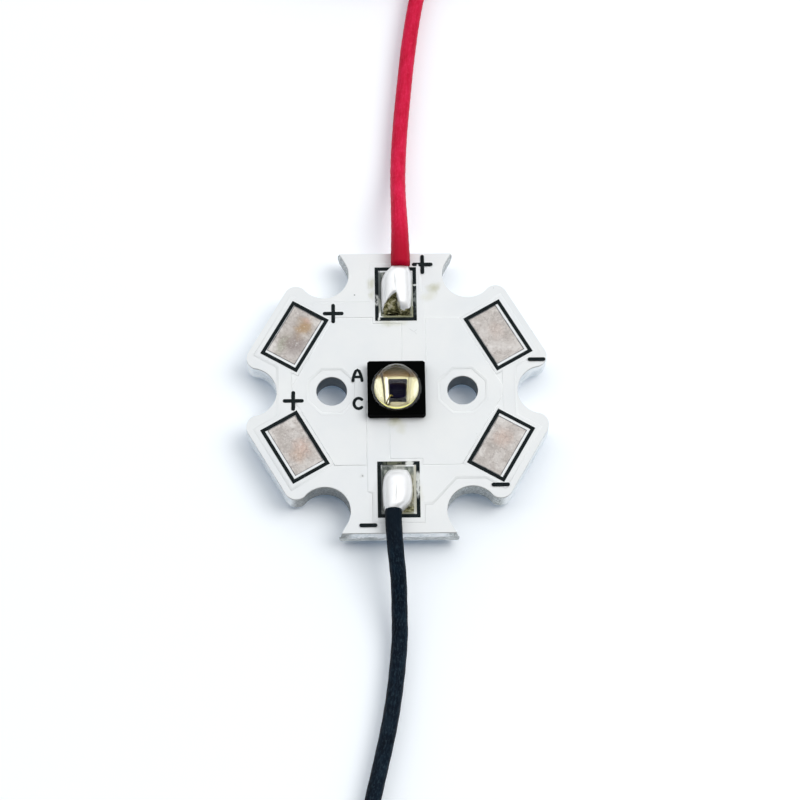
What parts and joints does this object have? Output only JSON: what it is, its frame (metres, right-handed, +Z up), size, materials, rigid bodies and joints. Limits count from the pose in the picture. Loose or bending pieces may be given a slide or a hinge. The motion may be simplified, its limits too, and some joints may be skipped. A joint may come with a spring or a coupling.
{
  "type": "star pcb power led",
  "caption": "Six-lobed aluminium-core circuit board with a domed power LED at its centre, bare solder pads on the lobes, and a red and a black flying lead soldered on.",
  "frame": {"origin": "centre of the plate's underside, which rests on the table or heat sink", "axes": "+Z up through the dome lens, +Y towards the soldered positive (red) lead, +X across the two locating holes"},
  "size_m": [0.0202, 0.0928, 0.0042],
  "materials": {
    "plate": "satin",
    "dielectric": "matte",
    "copper": "satin",
    "mask": "satin",
    "tin": "satin",
    "ink": "matte",
    "housing": "satin",
    "gold": "satin",
    "die": "gloss",
    "lens": "clear",
    "solder": "bright",
    "strands": "satin",
    "red_insulation": "satin",
    "black_insulation": "satin",
    "tie": "matte"
  },
  "bodies": {
    "root": {"base_plate": "plate", "dielectric_layer": "dielectric", "anode_copper": "copper", "cathode_copper": "copper", "heat_copper": "copper", "solder_mask": "mask", "pad_plus_top": "tin", "pad_plus_upper_left": "tin", "pad_plus_lower_left": "tin", "pad_minus_bottom": "tin", "pad_minus_upper_right": "tin", "pad_minus_lower_right": "tin", "pad_outlines": "ink", "led_housing": "housing", "led_frame": "gold", "led_contact": "gold", "led_die": "die", "led_bond_wire": "gold", "led_lens": "lens", "led_solder_anode": "solder", "led_solder_cathode": "solder", "led_solder_heat": "solder", "solder_joint_plus": "solder", "solder_joint_minus": "solder", "red_conductor": "strands", "black_conductor": "strands", "red_lead": "red_insulation", "red_lead_coil": "red_insulation", "red_lead_tie": "tie", "red_lead_tail": "red_insulation", "red_lead_end": "strands", "black_lead": "black_insulation", "black_lead_coil": "black_insulation", "black_lead_tie": "tie", "black_lead_tail": "black_insulation", "black_lead_end": "strands"}
  },
  "joints": []
}
